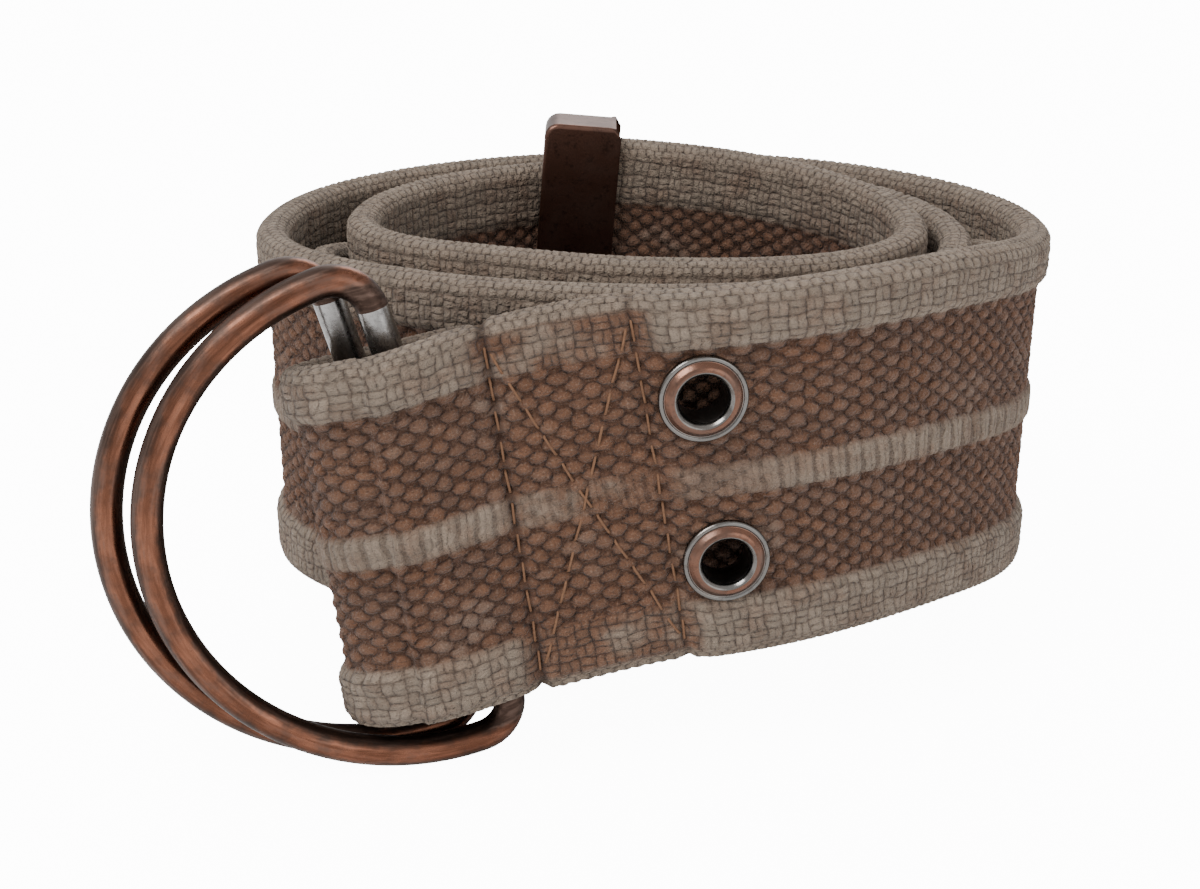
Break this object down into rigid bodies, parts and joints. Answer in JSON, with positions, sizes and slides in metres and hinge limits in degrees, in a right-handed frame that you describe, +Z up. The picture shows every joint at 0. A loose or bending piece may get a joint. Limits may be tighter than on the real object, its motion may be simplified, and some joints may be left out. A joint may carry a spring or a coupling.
{
  "type": "webbing belt",
  "caption": "Canvas webbing waist belt, coiled on its edge, with D-rings in a sewn loop at one end and a metal tip at the other.",
  "frame": {"origin": "middle of the bounding box at the floor", "axes": "+Z up, across the webbing's width; the sewn loop and the D-rings are at -X and face -Y, which is the front"},
  "size_m": [0.124, 0.0888, 0.0706],
  "materials": {
    "webbing": "coarse woven cotton canvas",
    "nickel": "worn satin nickel plate",
    "copper_tip": "satin dark copper plate",
    "copper": "antiqued copper plate on steel wire"
  },
  "bodies": {
    "belt": {"strap": "webbing", "eyelet_buckle_upper": "nickel", "eyelet_buckle_lower": "nickel", "eyelet_tip_upper": "nickel", "eyelet_tip_lower": "nickel", "tip_cap": "copper_tip"},
    "front_ring": {"d_ring_front": "copper"},
    "rear_ring": {"d_ring_rear": "copper"}
  },
  "joints": [
    {"name": "front_ring_swing", "type": "hinge", "parent": "belt", "child": "front_ring", "pos_m": [-0.01913, -0.03367, 0.03557], "axis": [-0.2797, 0.0274, 0.9597], "range_deg": [0, 100]},
    {"name": "rear_ring_swing", "type": "hinge", "parent": "belt", "child": "rear_ring", "pos_m": [-0.02486, -0.03028, 0.03537], "axis": [-0.2797, 0.0274, 0.9597], "range_deg": [-20, 0]}
  ]
}
